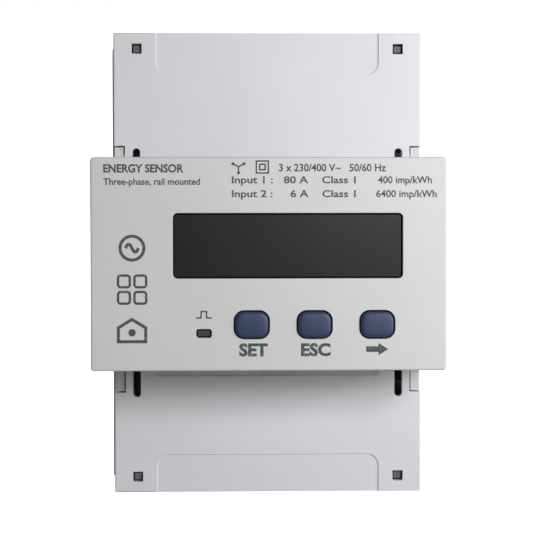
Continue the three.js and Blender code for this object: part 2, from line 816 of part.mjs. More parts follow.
/** The slider that hooks the rail's lower flange. Its pocket holds the spring and the case's lug. */
function railClip() {
  const side = sides.lower;
  const half = clipHalfWidth;
  const end = halfHeight - clipRelease;
  const stop = railHalf + gap;
  const back = -(legDepth - gap);
  const flange = zoneBox(side, -clipFlangeHalf, clipFlangeHalf, -gap, -clipLip + gap, stop, end - clipTravel);
  const hookBack = -railFlange - hookThickness;
  const hook = zoneBox(side, -half, half, -railFlange, hookBack, railHalf - hookReach, stop + over);
  const body = flange.add(zoneBox(side, -half, half, -gap, back, stop, end)).add(hook);
  const pocketStart = springFoot - springLength;
  const pocketEnd = springFoot + lugLength + clipPocketPlay;
  const pocketBack = back + clipPocketWall;
  const pocket = zoneBox(side, -clipPocketHalf, clipPocketHalf, over, pocketBack, pocketStart, pocketEnd);
  const [slotHalf, slotWide] = driverSlot;
  const slotEnd = end - slotWide;
  const slot = zoneBox(side, -slotHalf, slotHalf, pocketBack, back - over, slotEnd - slotWide, slotEnd);
  return body.subtract(pocket).subtract(slot);
}

/** The compression spring between the case's lug and the clip, wound along Z. */
class SpringLine extends THREE.Curve {
  getPoint(t, target = new THREE.Vector3()) {
    const angle = t * springTurns * 2 * Math.PI;
    const radius = springRadius - springWire / 2;
    const low = -springFoot + gap + springWire / 2;
    const rise = springLength - 2 * gap - springWire;
    const y = springRadius + 2 * gap;
    return target.set(radius * Math.cos(angle), y + radius * Math.sin(angle), low + t * rise);
  }
}

function clipSpring() {
  const section = new THREE.Shape();
  section.absarc(0, 0, springWire / 2, 0, 2 * Math.PI);
  return solid(
    new THREE.ExtrudeGeometry(section, {
      steps: springTurns * 10,
      extrudePath: new SpringLine(),
      curveSegments: 3,
      bevelEnabled: false,
    }),
  );
}

// ---------------------------------------------------------------- the meter

const lines = ["l1", "l2", "l3", "n"];
const buttonNames = ["set_button", "escape_button", "next_button"];

addPart("rear_case", rearCase(), finishes.casing);
addPart("front_case", frontCase(), finishes.casing);
for (const [zone, side] of Object.entries(sides)) {
  addPart(`${zone}_terminal_cover`, terminalCover(zone), finishes.casing);
  addPart(`${zone}_terminal_block`, terminalBlock(side), finishes.innerMoulding);
  terminalX.forEach((x, i) => {
    addPart(`${zone}_terminal_screw_${lines[i]}`, terminalScrew(x, side), finishes.steel);
    addPart(`${zone}_terminal_clamp_${lines[i]}`, clampCage(x, side), finishes.steel);
  });
}
terminalX.forEach((x, i) => addPart(`busbar_${lines[i]}`, busbar(x), finishes.copper));
terminalX.slice(0, 3).forEach((x, i) => {
  addPart(`current_transformer_${lines[i]}`, currentTransformer(x), finishes.winding);
});
casePosts().forEach(([x, z], i) => addPart(`case_screw_${i + 1}`, caseScrew(x, z), finishes.steel));
addPart("display_window", displayWindow(), finishes.window);
addPart("display_panel", displayPanel(), finishes.liquidCrystal);
addPart("display_frame", displayFrame(), finishes.reflector);
addPart("display_board", displayBoard(), finishes.board);
buttonPlaces().forEach((x, i) => {
  addPart(buttonNames[i], button(x), finishes.button);
  addPart(`tact_switch_${i + 1}`, tactSwitch(x), finishes.black);
});
addPart("pulse_light_pipe", lightPipe(), finishes.lamp);
addPart("pulse_lamp", pulseLamp(), finishes.lamp);
addPart("main_board", mainBoard(), finishes.board);
addPart("supply_transformer", supplyTransformer(), finishes.tape);
addPart("supply_capacitor", supplyCapacitor(), finishes.sleeve);
addPart("board_header", boardHeader(), finishes.black);
addPart("signal_terminal_block", signalBlock(), finishes.signalBlock);
signalX.forEach((x, i) => addPart(`signal_screw_${i + 1}`, signalScrew(x), finishes.steel));
addPart("rail_clip", railClip(), finishes.clip);
addPart("rail_clip_spring", clipSpring(), finishes.steel);

export default meter;
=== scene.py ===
"""A rail-mounted smart electric meter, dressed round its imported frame.

Lengths are metres in the frame's axes: +Z up, +X right as the meter is read, and the display faces -Y.
Each sub-assembly is a class that builds its meshes and then dresses them in its finishes.
"""

from __future__ import annotations

import logging
import math
from abc import ABC, abstractmethod
from collections.abc import Callable, Iterable, Sequence
from dataclasses import dataclass, field
from enum import Enum
from typing import Any

import bmesh
import bpy
from mathutils import Matrix, Vector


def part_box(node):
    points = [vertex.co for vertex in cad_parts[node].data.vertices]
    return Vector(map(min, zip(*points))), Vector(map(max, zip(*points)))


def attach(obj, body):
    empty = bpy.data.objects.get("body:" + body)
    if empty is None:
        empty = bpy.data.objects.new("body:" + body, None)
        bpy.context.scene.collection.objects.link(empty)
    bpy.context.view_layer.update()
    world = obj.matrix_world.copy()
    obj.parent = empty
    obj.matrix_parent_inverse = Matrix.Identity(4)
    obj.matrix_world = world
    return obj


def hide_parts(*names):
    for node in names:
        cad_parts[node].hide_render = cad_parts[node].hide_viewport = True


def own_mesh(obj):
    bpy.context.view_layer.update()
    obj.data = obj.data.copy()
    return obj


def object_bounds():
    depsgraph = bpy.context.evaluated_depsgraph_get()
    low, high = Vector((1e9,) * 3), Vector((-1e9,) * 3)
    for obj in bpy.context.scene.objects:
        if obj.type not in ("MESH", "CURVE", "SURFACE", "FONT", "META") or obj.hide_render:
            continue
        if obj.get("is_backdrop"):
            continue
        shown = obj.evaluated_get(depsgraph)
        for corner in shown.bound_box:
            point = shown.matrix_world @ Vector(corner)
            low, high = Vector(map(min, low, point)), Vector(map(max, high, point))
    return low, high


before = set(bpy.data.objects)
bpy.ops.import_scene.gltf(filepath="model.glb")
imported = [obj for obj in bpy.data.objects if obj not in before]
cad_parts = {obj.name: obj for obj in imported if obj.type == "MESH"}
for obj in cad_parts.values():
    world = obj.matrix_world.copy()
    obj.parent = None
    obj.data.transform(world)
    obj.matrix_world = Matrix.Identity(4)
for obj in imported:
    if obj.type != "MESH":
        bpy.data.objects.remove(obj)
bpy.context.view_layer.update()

log = logging.getLogger("meter")

MM = 0.001
CASE = "case"
TOUCH = 0.01 * MM
CAPITAL_HEIGHT = 0.729
CORNERS = ((1, 1), (-1, 1), (-1, -1), (1, -1))
END_CLOSING = 0.07
TURN_STEPS = 28
BEVEL_FROM = 30
SHARP_FROM = 38

Color = tuple[float, float, float]
Point = tuple[float, float]
EdgeTest = Callable[[Vector, Vector], bool]
DUST_COLOR = (0.42, 0.39, 0.34, 1.0)
WHITE = (1.0, 1.0, 1.0, 1.0)


class Zone(Enum):
    """The two ends of the meter, by the sign of Z."""

    LOWER = -1
    UPPER = 1

    @property
    def word(self) -> str:
        """The word that starts this end's part names."""
        return self.name.lower()


# ---- node trees


class Graph:
    """A node tree that is being wired."""

    def __init__(self, tree: bpy.types.NodeTree) -> None:
        """Starts on a tree.

        Args:
            tree: The material's, world's or group's tree.
        """
        self.tree = tree

    def node(self, kind: str, inputs: dict[str | int, Any] | None = None, **settings: Any) -> bpy.types.Node:
        """Makes one node.

        Args:
            kind: The node's type, without its ShaderNode prefix.
            inputs: For each input, by name or number, a plain value or the socket that feeds it.
            **settings: The node's own properties.

        Returns:
            The new node.
        """
        made = self.tree.nodes.new(kind if kind.startswith("NodeGroup") else f"ShaderNode{kind}")
        made.location = (220 * len(self.tree.nodes), 0)
        for key, value in settings.items():
            setattr(made, key, value)
        for key, value in (inputs or {}).items():
            if isinstance(value, bpy.types.NodeSocket):
                self.tree.links.new(value, made.inputs[key])
            else:
                made.inputs[key].default_value = value
        return made

    def math(self, operation: str, a: Any, b: Any = 0.0, clamp: bool = False) -> bpy.types.NodeSocket:
        """One sum on numbers.

        Args:
            operation: The Math node's operation.
            a: The first number or socket.
            b: The second number or socket.
            clamp: Whether the result stays between 0 and 1.

        Returns:
            The result's socket.
        """
        return self.node("Math", {0: a, 1: b}, operation=operation, use_clamp=clamp).outputs[0]

    def mix(self, factor: Any, a: Any, b: Any) -> bpy.types.NodeSocket:
        """A blend of two colours.

        Args:
            factor: How much of the second colour shows.
            a: The first colour or socket.
            b: The second colour or socket.

        Returns:
            The blended colour's socket.
        """
        return self.node("Mix", {0: factor, 6: a, 7: b}, data_type="RGBA").outputs[2]

    def span(self, value: Any, low: float, high: float, to_low: Any, to_high: Any) -> bpy.types.NodeSocket:
        """A number moved from one range to another, and held inside it.

        Args:
            value: The number's socket.
            low: The value that gives to_low.
            high: The value that gives to_high.
            to_low: The start of the new range.
            to_high: The end of the new range.

        Returns:
            The result's socket.
        """
        inputs = {"Value": value, "From Min": low, "From Max": high, "To Min": to_low, "To Max": to_high}
        return self.node("MapRange", inputs).outputs[0]

    def noise(self, place: Any, scale: Any, detail: float = 2.0) -> bpy.types.NodeSocket:
        """Smooth noise between 0 and 1.

        Args:
            place: The coordinate's socket.
            scale: Features per metre.
            detail: How many finer layers it has.

        Returns:
            The noise's socket.
        """
        return self.node("TexNoise", {"Vector": place, "Scale": scale, "Detail": detail}).outputs["Fac"]

    def feed(self, shader: bpy.types.Node, **sockets: bpy.types.NodeSocket) -> None:
        """Links sockets to a shader's inputs.

        Args:
            shader: The shader.
            **sockets: The socket for each input, with _ for a space in its name.
        """
        for label, socket in sockets.items():
            self.tree.links.new(socket, shader.inputs[label.replace("_", " ")])

    def place(self) -> bpy.types.NodeSocket:
        """The point's place on its own piece, in metres."""
        return self.node("TexCoord").outputs["Object"]


class SharedGroup(ABC):
    """A shader node group that several finishes use, built once."""

    name: str
    inputs: dict[str, str]
    outputs: dict[str, str]
    _made: dict[str, bpy.types.NodeTree] = {}

    @classmethod
    def tree(cls) -> bpy.types.NodeTree:
        """The group's tree, which is built the first time that it is asked for."""
        if cls.name not in cls._made:
            tree = bpy.data.node_groups.new(cls.name, "ShaderNodeTree")
            for label, kind in cls.inputs.items():
                tree.interface.new_socket(name=label, in_out="INPUT", socket_type=f"NodeSocket{kind}")
            for label, kind in cls.outputs.items():
                tree.interface.new_socket(name=label, in_out="OUTPUT", socket_type=f"NodeSocket{kind}")
            graph = Graph(tree)
            entry = graph.node("NodeGroupInput").outputs
            leaving = graph.node("NodeGroupOutput")
            for label, socket in cls.wire(graph, entry).items():
                tree.links.new(socket, leaving.inputs[label])
            cls._made[cls.name] = tree
        return cls._made[cls.name]

    @classmethod
    @abstractmethod
    def wire(cls, graph: Graph, entry: Any) -> dict[str, bpy.types.NodeSocket]:
        """Wires the group.

        Args:
            graph: The group's graph.
            entry: The sockets of the group's inputs.

        Returns:
            The socket that feeds each output.
        """

    @classmethod
    def use(cls, graph: Graph, **values: Any) -> Any:
        """Places the group in a material.

        Args:
            graph: The material's graph.
            **values: A value or socket for each input, with _ for a space in its name.

        Returns:
            The placed group's outputs.
        """
        inputs = {key.replace("_", " "): value for key, value in values.items()}
        return graph.node("Group", inputs, node_tree=cls.tree()).outputs


class MouldedGrain(SharedGroup):
    """The fine texture and the faint unevenness of a moulding."""

    name = "moulded grain"
    inputs = {"Tint": "Color", "Spread": "Float", "Grain": "Float", "Gloss": "Float", "Gloss Spread": "Float"}
    outputs = {"Color": "Color", "Roughness": "Float", "Height": "Float"}

    @classmethod
    def wire(cls, graph: Graph, entry: Any) -> dict[str, bpy.types.NodeSocket]:
        """Wires the group: see SharedGroup.wire."""
        place = graph.place()
        clouds = graph.noise(place, 38.0, 3.0)
        swing = graph.math("MULTIPLY", graph.span(clouds, 0.3, 0.7, -1.0, 1.0), entry["Spread"])
        factor = graph.math("ADD", swing, 1.0)
        tint = graph.node("VectorMath", {0: entry["Tint"], 3: factor}, operation="SCALE")
        flow = graph.noise(place, 140.0, 4.0)
        sheen = graph.math("MULTIPLY", graph.span(flow, 0.3, 0.7, -1.0, 1.0), entry["Gloss Spread"])
        return {
            "Color": tint.outputs[0],
            "Roughness": graph.math("ADD", entry["Gloss"], sheen, clamp=True),
            "Height": graph.noise(place, entry["Grain"], 3.0),
        }


class EdgeWear(SharedGroup):
    """Where handling has rubbed the edges, found by how far a rounded edge's normal leans."""

    name = "edge wear"
    inputs = {"Width": "Float", "Amount": "Float"}
    outputs = {"Mask": "Float"}

    @classmethod
    def wire(cls, graph: Graph, entry: Any) -> dict[str, bpy.types.NodeSocket]:
        """Wires the group: see SharedGroup.wire."""
        rounded = graph.node("Bevel", {"Radius": entry["Width"]}, samples=4).outputs[0]
        flat = graph.node("NewGeometry").outputs["Normal"]
        lean = graph.node("VectorMath", {0: rounded, 1: flat}, operation="DOT_PRODUCT").outputs["Value"]
        edge = graph.span(lean, 0.98, 0.78, 0.0, 1.0)
        patches = graph.span(graph.noise(graph.place(), 420.0, 3.0), 0.38, 0.62, 0.25, 1.0)
        return {"Mask": graph.math("MULTIPLY", graph.math("MULTIPLY", edge, patches), entry["Amount"])}


class SettledDust(SharedGroup):
    """Dust that lies on what faces up."""

    name = "settled dust"
    inputs = {"Amount": "Float"}
    outputs = {"Mask": "Float"}

    @classmethod
    def wire(cls, graph: Graph, entry: Any) -> dict[str, bpy.types.NodeSocket]:
        """Wires the group: see SharedGroup.wire."""
        normal = graph.node("TexCoord").outputs["Normal"]
        up = graph.span(graph.node("SeparateXYZ", {0: normal}).outputs["Z"], 0.55, 1.0, 0.0, 1.0)
        specks = graph.span(graph.noise(graph.place(), 900.0, 4.0), 0.4, 0.75, 0.15, 1.0)
        return {"Mask": graph.math("MULTIPLY", graph.math("MULTIPLY", up, specks), entry["Amount"])}


class DrawnLines(SharedGroup):
    """The fine parallel lines that rolling or drawing leaves in metal."""

    name = "drawn lines"
    inputs = {"Fineness": "Float", "Gloss": "Float", "Gloss Spread": "Float"}
    outputs = {"Roughness": "Float", "Height": "Float"}

    @classmethod
    def wire(cls, graph: Graph, entry: Any) -> dict[str, bpy.types.NodeSocket]:
        """Wires the group: see SharedGroup.wire."""
        long_way = graph.node("Mapping", {"Vector": graph.place(), "Scale": (1.0, 1.0, 0.06)}).outputs[0]
        lines = graph.noise(long_way, entry["Fineness"], 3.0)
        swing = graph.math("MULTIPLY", graph.span(lines, 0.3, 0.7, -1.0, 1.0), entry["Gloss Spread"])
        return {"Roughness": graph.math("ADD", entry["Gloss"], swing, clamp=True), "Height": lines}


# ---- finishes


@dataclass(frozen=True)
class Finish(ABC):
    """One surface finish. Colours are linear."""

    name: str
    color: Color
    roughness: float

    @abstractmethod
    def wire(self, graph: Graph, shader: bpy.types.Node) -> None:
        """Wires this finish's nodes into its shader.

        Args:
            graph: The material's graph.
            shader: The material's Principled BSDF.
        """

    def material(self) -> bpy.types.Material:
        """This finish's material, which is made the first time that it is asked for."""
        found = bpy.data.materials.get(self.name)
        if found:
            return found
        made = bpy.data.materials.new(self.name)
        made.use_nodes = True
        made.node_tree.nodes.clear()
        graph = Graph(made.node_tree)
        shader = graph.node("BsdfPrincipled", {"Base Color": (*self.color, 1.0), "Roughness": self.roughness})
        graph.node("OutputMaterial", {"Surface": shader.outputs[0]})
        made.diffuse_color = (*self.color, 1.0)
        self.wire(graph, shader)
        return made

    @staticmethod
    def bump(graph: Graph, shader: bpy.types.Node, height: Any, strength: float, depth: float) -> None:
        """Feeds a height to the shader's normal.

        Args:
            graph: The material's graph.
            shader: The shader that takes the normal.
            height: The height's socket.
            strength: How much of the height shows.
            depth: The height's range.
        """
        bump = graph.node("Bump", {"Height": height, "Strength": strength, "Distance": depth})
        graph.feed(shader, Normal=bump.outputs[0])


@dataclass(frozen=True)
class MouldedPlastic(Finish):
    """A moulded plastic with a spark-eroded grain."""

    grain: float = 2600.0
    depth: float = 0.03 * MM
    strength: float = 0.25
    spread: float = 0.02
    gloss_spread: float = 0.05
    wear: float = 0.35
    dust: float = 0.18

    def wire(self, graph: Graph, shader: bpy.types.Node) -> None:
        """Wires the grain, the rubbed edges and a little dust: see Finish.wire."""
        tint = (*self.color, 1.0)
        grain = MouldedGrain.use(
            graph,
            Tint=tint,
            Spread=self.spread,
            Grain=self.grain,
            Gloss=self.roughness,
            Gloss_Spread=self.gloss_spread,
        )
        worn = EdgeWear.use(graph, Width=0.25 * MM, Amount=self.wear)["Mask"]
        dusty = SettledDust.use(graph, Amount=self.dust)["Mask"]
        pale = tuple(min(1.0, 1.18 * part + 0.01) for part in self.color)
        rubbed = graph.mix(worn, grain["Color"], (*pale, 1.0))
        color = graph.mix(dusty, rubbed, DUST_COLOR)
        smoother = graph.math("SUBTRACT", grain["Roughness"], graph.math("MULTIPLY", worn, 0.18))
        graph.feed(shader, Base_Color=color, Roughness=graph.math("ADD", smoother, dusty, clamp=True))
        self.bump(graph, shader, grain["Height"], self.strength, self.depth)


@dataclass(frozen=True)
class SmokedWindow(Finish):
    """Dark polished plastic in front of the display."""

    def wire(self, graph: Graph, shader: bpy.types.Node) -> None:
        """Wires faint moulding flow: see Finish.wire."""
        grain = MouldedGrain.use(
            graph, Tint=(*self.color, 1.0), Spread=0.03, Grain=160.0, Gloss=self.roughness, Gloss_Spread=0.02
        )
        graph.feed(shader, Base_Color=grain["Color"], Roughness=grain["Roughness"])
        shader.inputs["Coat Weight"].default_value = 0.05
        shader.inputs["Specular IOR Level"].default_value = 0.3
        shader.inputs["Coat Roughness"].default_value = 0.12
        self.bump(graph, shader, grain["Height"], 0.04, 0.02 * MM)


@dataclass(frozen=True)
class DrawnMetal(Finish):
    """Drawn or rolled metal, such as plated steel or copper, that is brighter on its edges."""

    fineness: float = 3200.0
    patina: Color = (0.3, 0.29, 0.27)
    patina_amount: float = 0.25

    def wire(self, graph: Graph, shader: bpy.types.Node) -> None:
        """Wires the drawn lines, a patchy patina and bright edges: see Finish.wire."""
        lines = DrawnLines.use(graph, Fineness=self.fineness, Gloss=self.roughness, Gloss_Spread=0.09)
        worn = EdgeWear.use(graph, Width=0.2 * MM, Amount=0.8)["Mask"]
        patches = graph.span(graph.noise(graph.place(), 300.0, 5.0), 0.45, 0.7, 0.0, self.patina_amount)
        dull = graph.mix(patches, (*self.color, 1.0), (*self.patina, 1.0))
        bright = tuple(min(1.0, 1.25 * part) for part in self.color)
        color = graph.mix(worn, dull, (*bright, 1.0))
        graph.feed(shader, Base_Color=color, Roughness=graph.math("ADD", lines["Roughness"], patches))
        shader.inputs["Metallic"].default_value = 1.0
        self.bump(graph, shader, lines["Height"], 0.2, 0.01 * MM)


@dataclass(frozen=True)
class PrintedInk(Finish):
    """Pad-printed ink, a little thinner in places."""

    under: Color = (0.6, 0.6, 0.62)

    def wire(self, graph: Graph, shader: bpy.types.Node) -> None:
        """Wires the ink's thin places: see Finish.wire."""
        thin = graph.span(graph.noise(graph.place(), 1500.0, 4.0), 0.5, 0.8, 0.0, 0.3)
        graph.feed(shader, Base_Color=graph.mix(thin, (*self.color, 1.0), (*self.under, 1.0)))
        self.bump(graph, shader, graph.noise(graph.place(), 4000.0, 2.0), 0.15, 0.01 * MM)


@dataclass(frozen=True)
class CircuitBoard(Finish):
    """Lacquered board with its tracks showing through the mask."""

    track: Color = (0.03, 0.2, 0.07)

    def wire(self, graph: Graph, shader: bpy.types.Node) -> None:
        """Wires the tracks: see Finish.wire."""
        bricks = graph.node(
            "TexBrick",
            {
                "Vector": graph.place(),
                "Color1": (*self.track, 1.0),
                "Color2": (*self.color, 1.0),
                "Mortar": (*(0.5 * part for part in self.color), 1.0),
                "Scale": 300.0,
                "Mortar Size": 0.035,
            },
        )
        graph.feed(shader, Base_Color=bricks.outputs["Color"])
        self.bump(graph, shader, bricks.outputs["Fac"], 0.3, 0.03 * MM)
        shader.inputs["Coat Weight"].default_value = 0.4


@dataclass(frozen=True)
class WoundWire(Finish):
    """Lacquered wire wound close, or tape wound in turns."""

    turns: float = 900.0

    def wire(self, graph: Graph, shader: bpy.types.Node) -> None:
        """Wires the turns: see Finish.wire."""
        wave = graph.node("TexWave", {"Vector": graph.place(), "Scale": self.turns, "Distortion": 0.6})
        dark = tuple(0.45 * part for part in self.color)
        blend = graph.mix(wave.outputs["Fac"], (*dark, 1.0), (*self.color, 1.0))
        graph.feed(shader, Base_Color=blend)
        self.bump(graph, shader, wave.outputs["Fac"], 0.5, 0.05 * MM)


CASE_PLASTIC = MouldedPlastic("case plastic", (0.65, 0.652, 0.665), 0.5)
COVER_PLASTIC = MouldedPlastic("cover plastic", (0.725, 0.72, 0.748), 0.5)
BLOCK_PLASTIC = MouldedPlastic("terminal block plastic", (0.125, 0.136, 0.13), 0.55)
CLIP_PLASTIC = MouldedPlastic("clip plastic", (0.045, 0.05, 0.055), 0.5, wear=0.5)
SIGNAL_PLASTIC = MouldedPlastic("signal block plastic", (0.085, 0.092, 0.096), 0.45)
BLACK_PLASTIC = MouldedPlastic("black plastic", (0.012, 0.012, 0.013), 0.45)
REFLECTOR_PLASTIC = MouldedPlastic("reflector plastic", (0.8, 0.8, 0.77), 0.5)
SLEEVE_PLASTIC = MouldedPlastic("capacitor sleeve", (0.02, 0.022, 0.035), 0.35)
BUTTON_RUBBER = MouldedPlastic(
    "button rubber", (0.028, 0.045, 0.11), 0.45, grain=3600.0, wear=0.15, dust=0.08
)
LAMP_PLASTIC = MouldedPlastic("lamp plastic", (0.07, 0.068, 0.068), 0.22, strength=0.05)
LAMP_RESIN = MouldedPlastic("lamp resin", (0.3, 0.012, 0.01), 0.2)
WINDOW_PLASTIC = SmokedWindow("smoked window", (0.017, 0.017, 0.0178), 0.3)
DISPLAY_GLASS = SmokedWindow("display glass", (0.11, 0.14, 0.1), 0.2)
PLATED_STEEL = DrawnMetal("plated steel", (0.62, 0.62, 0.61), 0.28)
SPRING_STEEL = DrawnMetal("spring steel", (0.5, 0.5, 0.5), 0.25, fineness=5200.0)
BARE_COPPER = DrawnMetal("bare copper", (0.72, 0.34, 0.2), 0.3, patina=(0.22, 0.1, 0.06))
LABEL_FOIL = DrawnMetal("label foil", (0.6, 0.6, 0.6), 0.45, patina_amount=0.05)
DARK_INK = PrintedInk("dark ink", (0.062, 0.07, 0.072), 0.6)
PALE_INK = PrintedInk("pale ink", (0.7, 0.7, 0.68), 0.6, under=(0.3, 0.3, 0.3))
LABEL_INK = PrintedInk("label ink", (0.015, 0.015, 0.015), 0.5)
BOARD_LACQUER = CircuitBoard("board lacquer", (0.012, 0.1, 0.035), 0.35)
RING_LACQUER = WoundWire("ring core lacquer", (0.03, 0.09, 0.24), 0.35)
COIL_TAPE = WoundWire("coil tape", (0.62, 0.42, 0.05), 0.4, turns=260.0)

# ---- meshes


def smooth_faces(bm: bmesh.types.BMesh) -> None:
    """Smooths a bmesh's faces, and keeps the edges that turn by SHARP_FROM degrees or more.

    Args:
        bm: The bmesh.
    """
    for face in bm.faces:
        face.smooth = True
    for edge in bm.edges:
        edge.smooth = len(edge.link_faces) == 2 and edge.calc_face_angle(0.0) < math.radians(SHARP_FROM)


def mesh_from(name: str, bm: bmesh.types.BMesh) -> bpy.types.Mesh:
    """Turns a bmesh into a mesh with its normals outward, and frees the bmesh.

    Args:
        name: The mesh's name.
        bm: The bmesh.

    Returns:
        The mesh.
    """
    bmesh.ops.recalc_face_normals(bm, faces=bm.faces)
    smooth_faces(bm)
    mesh = bpy.data.meshes.new(name)
    bm.to_mesh(mesh)
    bm.free()
    return mesh


def rounded_outline(width: float, height: float, radius: float, steps: int = 6) -> list[Point]:
    """Points round a rectangle with round corners, about its centre.

    Args:
        width: Across.
        height: Up.
        radius: Of each corner.
        steps: Spans in each corner.

    Returns:
        The points, anticlockwise.
    """
    points: list[Point] = []
    for quarter, (sx, sz) in enumerate(CORNERS):
        for step in range(steps + 1):
            angle = math.radians(90 * (quarter + step / steps))
            x = sx * (width / 2 - radius) + radius * math.cos(angle)
            z = sz * (height / 2 - radius) + radius * math.sin(angle)
            points.append((x, z))
    return points


def loft(name: str, rings: Sequence[tuple[Sequence[Point], float]], x: float, z: float) -> bpy.types.Mesh:
    """A closed mesh through outlines of the same number of points, one behind the other.

    Args:
        name: The mesh's name.
        rings: Each outline, about its centre in X and Z, and its Y.
        x: The centre's X.
        z: The centre's Z.

    Returns:
        The mesh.
    """
    bm = bmesh.new()
    loops = [[bm.verts.new((x + px, y, z + pz)) for px, pz in outline] for outline, y in rings]
    for low, high in zip(loops, loops[1:]):
        for i, start in enumerate(low):
            j = (i + 1) % len(low)
            bm.faces.new((start, low[j], high[j], high[i]))
    bm.faces.new(loops[0])
    bm.faces.new(loops[-1])
    return mesh_from(name, bm)


def helix_tube(
    name: str, centre: Vector, radius: float, wire: float, length: float, turns: float
) -> bpy.types.Mesh:
    """A coil spring along Z, with its last turns closed up flat.

    Args:
        name: The mesh's name.
        centre: The middle of its lower end.
        radius: Of the wire's centre line.
        wire: The wire's diameter.
        length: From the lower end to the upper one.
        turns: How many turns it has.

    Returns:
        The mesh.
    """
    steps = int(turns * TURN_STEPS)
    sides = 10
    bm = bmesh.new()
    loops = []
    for step in range(steps + 1):
        t = step / steps
        eased = t - END_CLOSING * math.sin(2 * math.pi * t)
        angle = 2 * math.pi * turns * t
        out = Vector((math.cos(angle), math.sin(angle), 0))
        middle = centre + out * radius + Vector((0, 0, wire / 2 + eased * (length - wire)))
        loop = []
        for side in range(sides):
            turn = 2 * math.pi * side / sides
            lean = out * math.cos(turn) + Vector((0, 0, math.sin(turn)))
            loop.append(bm.verts.new(middle + lean * wire / 2))
        loops.append(loop)
    for low, high in zip(loops, loops[1:]):
        for i in range(sides):
            j = (i + 1) % sides
            bm.faces.new((low[i], low[j], high[j], high[i]))
    bm.faces.new(loops[0])
    bm.faces.new(loops[-1])
    return mesh_from(name, bm)


@dataclass(frozen=True)
class EdgeRule:
    """Which edges of a moulding are rounded, and how much."""

    radius: float
    pick: EdgeTest
    segments: int = 3


def softened(name: str, node: str, rules: Iterable[EdgeRule]) -> bpy.types.Mesh:
    """A CAD node's shape with its outer edges rounded.

    Args:
        name: The new mesh's name.
        node: The CAD node.
        rules: The edges to round. Only edges that stand out by more than 30 degrees are.

    Returns:
        The mesh.
    """
    bm = bmesh.new()
    bm.from_mesh(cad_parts[node].data)
    bmesh.ops.remove_doubles(bm, verts=bm.verts, dist=0.002 * MM)
    bmesh.ops.dissolve_limit(bm, angle_limit=math.radians(0.5), verts=bm.verts, edges=bm.edges)
    for rule in rules:
        chosen = [
            edge
            for edge in bm.edges
            if len(edge.link_faces) == 2
            and edge.is_convex
            and edge.calc_face_angle(0.0) > math.radians(BEVEL_FROM)
            and rule.pick(edge.verts[0].co, edge.verts[1].co)
        ]
        bmesh.ops.bevel(
            bm,
            geom=chosen,
            offset=rule.radius,
            offset_type="OFFSET",
            segments=rule.segments,
            profile=0.5,
            affect="EDGES",
            clamp_overlap=False,
        )
    return mesh_from(name, bm)


def on_plane(axis: int, place: float) -> EdgeTest:
    """A test for edges that lie in a plane.

    Args:
        axis: 0, 1 or 2 for the plane's normal.
        place: Where the plane crosses that axis.

    Returns:
        The test.
    """
    return lambda a, b: abs(a[axis] - place) < TOUCH and abs(b[axis] - place) < TOUCH


# ---- pieces


def add_piece(
    name: str, mesh: bpy.types.Mesh, body: str = CASE, replaces: Sequence[str] = ()
) -> bpy.types.Object:
    """Adds a piece to the meter.

    Args:
        name: The piece's name.
        mesh: Its mesh, in place.
        body: The CAD body that it moves with.
        replaces: The CAD nodes that it stands for.

    Returns:
        The new object.
    """
    piece = bpy.data.objects.new(name, mesh)
    bpy.context.scene.collection.objects.link(piece)
    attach(piece, body)
    if replaces:
        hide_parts(*replaces)
    return piece


def paint(piece: bpy.types.Object, finish: Finish) -> None:
    """Gives a piece its finish."""
    piece.data.materials.clear()
    piece.data.materials.append(finish.material())


def even_normals(piece: bpy.types.Object) -> None:
    """Makes a moulding's large faces shade flat up to their rounded edges."""
    modifier = piece.modifiers.new("even normals", "WEIGHTED_NORMAL")
    modifier.keep_sharp = True
    modifier.weight = 80


@dataclass
class SubAssembly(ABC):
    """A group of pieces that are made together."""

    pieces: dict[bpy.types.Object, Finish] = field(default_factory=dict, init=False)

    @abstractmethod
    def build(self) -> None:
        """Builds the meshes and puts them in place."""

    def dress(self) -> None:
        """Gives every piece its finish."""
        for piece, finish in self.pieces.items():
            paint(piece, finish)

    def add(self, piece: bpy.types.Object, finish: Finish) -> bpy.types.Object:
        """Notes a piece and the finish that it gets.

        Args:
            piece: The piece.
            finish: Its finish.

        Returns:
            The piece.
        """
        self.pieces[piece] = finish
        return piece

    def carry(self, node: str, finish: Finish) -> None:
        """Keeps a CAD node as it is, sharp edges and all, with a finish of its own.

        Args:
            node: The CAD node.
            finish: Its finish.
        """
        self.add(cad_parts[node], finish)


    def mould(
        self,
        node: str,
        finish: Finish,
        slot: str,
        rules: Iterable[EdgeRule],
        name: str = "",
        body: str = CASE,
    ) -> None:
        """Makes a moulding from a CAD node's shape, with rounded edges, in the node's place.

        Args:
            node: The CAD node.
            finish: The moulding's finish.
            slot: The record's material slot. It is not used.
            rules: The edges to round.
            name: The moulding's name, if it is not the node's with _moulding after it.
            body: The CAD body that it moves with.
        """
        name = name or f"{node}_moulding"
        piece = add_piece(name, softened(name, node, rules), body, [node])
        even_normals(piece)
        self.add(piece, finish)


# ---- lettering


def text_mesh(text: str, thicken: float = 0.0) -> bpy.types.Mesh:
    """Flat lettering in X and Y, with capitals one unit high and its left foot at the origin.

    Args:
        text: What it says.
        thicken: How far each stroke grows, as a share of the capitals.

    Returns:
        The mesh.
    """
    curve = bpy.data.curves.new("lettering", "FONT")
    curve.body = text
    curve.size = 1.0 / CAPITAL_HEIGHT
    curve.offset = thicken
    curve.resolution_u = 3
    holder = bpy.data.objects.new("lettering", curve)
    bpy.context.scene.collection.objects.link(holder)
    bpy.context.view_layer.update()
    mesh = bpy.data.meshes.new_from_object(holder.evaluated_get(bpy.context.evaluated_depsgraph_get()))
    bpy.data.objects.remove(holder)
    return mesh


